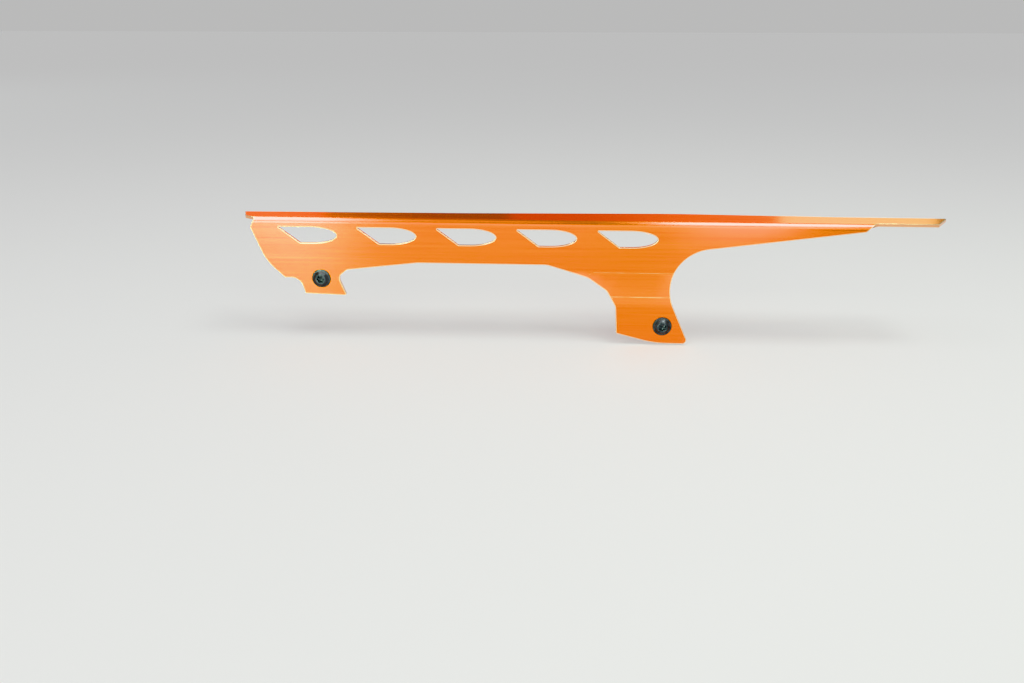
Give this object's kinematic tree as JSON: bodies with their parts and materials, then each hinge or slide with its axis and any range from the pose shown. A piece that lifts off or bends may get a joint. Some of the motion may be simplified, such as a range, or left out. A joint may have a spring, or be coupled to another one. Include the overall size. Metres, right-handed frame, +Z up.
{
  "type": "motorcycle chain guard",
  "caption": "Folded sheet-metal chain guard with a row of bullet-shaped windows, a long top flange, a stepped rear tab and button-head screws.",
  "frame": {"origin": "front screw's axis, at the inner face of the front tab", "axes": "+X from the nose to the tail along the fold, +Y from the outer face inwards to the bike, +Z up"},
  "size_m": [0.4423, 0.033, 0.0772],
  "materials": {
    "anodised_sheet": "brushed and anodised orange, satin, with bright broken edges",
    "black_steel": "blackened steel, satin"
  },
  "bodies": {
    "root": {"guard": "anodised_sheet", "front_screw": "black_steel", "rear_screw": "black_steel"}
  },
  "joints": []
}
